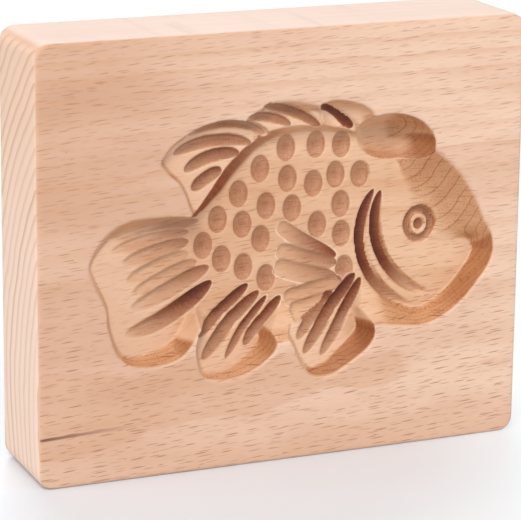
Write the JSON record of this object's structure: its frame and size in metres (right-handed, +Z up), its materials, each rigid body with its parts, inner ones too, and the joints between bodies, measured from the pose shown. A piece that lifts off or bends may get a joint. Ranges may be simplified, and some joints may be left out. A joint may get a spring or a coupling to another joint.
{
  "type": "wooden cookie mould",
  "caption": "Thick rounded beech board with a goldfish sunk into its face, for pressing pictured biscuits, gingerbread or marzipan.",
  "frame": {"origin": "centre of the base edge that the board stands on, half way through its thickness", "axes": "+X along the grain towards the fish's head, +Y from the carved face to the back, +Z up"},
  "size_m": [0.12, 0.026, 0.102],
  "materials": {
    "beech": "satin"
  },
  "bodies": {
    "root": {"mould_board": "beech"}
  },
  "joints": []
}
